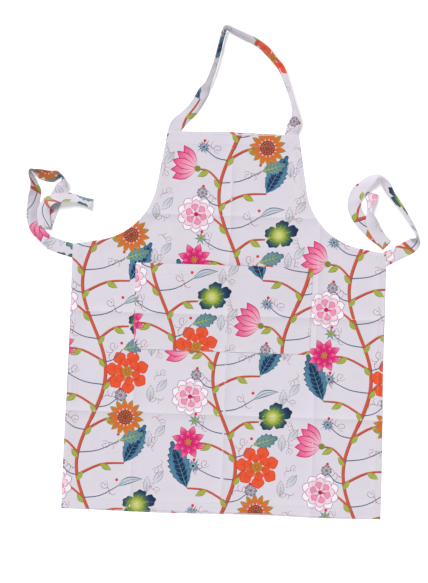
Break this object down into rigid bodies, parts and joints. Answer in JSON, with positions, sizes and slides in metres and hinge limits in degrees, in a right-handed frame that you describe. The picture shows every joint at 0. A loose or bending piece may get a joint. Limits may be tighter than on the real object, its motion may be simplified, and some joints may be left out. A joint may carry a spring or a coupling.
{
  "type": "apron",
  "caption": "Bib apron in floral cotton, laid face up, with a wide front pocket, a neck strap and loosely coiled waist ties.",
  "frame": {"origin": "under the middle of the bottom hem's outer edge, on the surface the apron lies on", "axes": "+X to the right across the apron seen from the front, +Y up the apron to the neck, +Z out of its printed face"},
  "size_m": [0.8664, 1.0724, 0.0307],
  "materials": {
    "printed_cotton": "plain-weave cotton with a multicoloured trailing flower print on a pale lilac-white ground",
    "cotton_reverse": "wrong side of the printed cotton, the print showing through faintly",
    "sewing_thread": "white polyester sewing thread"
  },
  "bodies": {
    "apron": {"front_panel": "printed_cotton", "bib_top_hem": "cotton_reverse", "left_armhole_hem": "cotton_reverse", "right_armhole_hem": "cotton_reverse", "left_side_hem": "cotton_reverse", "right_side_hem": "cotton_reverse", "bottom_hem": "cotton_reverse", "pocket_panel": "printed_cotton", "pocket_mouth_hem": "cotton_reverse", "pocket_turnings": "cotton_reverse", "neck_strap_left_end": "cotton_reverse", "neck_strap_right_end": "cotton_reverse", "left_tie_end": "cotton_reverse", "right_tie_end": "cotton_reverse", "hem_stitching": "sewing_thread", "pocket_stitching": "sewing_thread", "neck_strap_tacks": "sewing_thread", "tie_tacks": "sewing_thread"},
    "neck_strap": {"neck_strap": "printed_cotton", "neck_strap_stitching": "sewing_thread"},
    "left_tie": {"left_tie": "printed_cotton", "left_tie_stitching": "sewing_thread"},
    "right_tie": {"right_tie": "printed_cotton", "right_tie_stitching": "sewing_thread"}
  },
  "joints": [
    {"name": "neck_strap_fold", "type": "hinge", "parent": "apron", "child": "neck_strap", "pos_m": [0, 0.837, 0.002], "axis": [1, 0, 0], "range_deg": [0, 135]},
    {"name": "left_tie_fold", "type": "hinge", "parent": "apron", "child": "left_tie", "pos_m": [-0.4, 0.6, 0.0013], "axis": [1, 0, 0], "range_deg": [0, 135]},
    {"name": "right_tie_fold", "type": "hinge", "parent": "apron", "child": "right_tie", "pos_m": [0.374, 0.588, 0.0013], "axis": [1, 0, 0], "range_deg": [0, 135]}
  ]
}
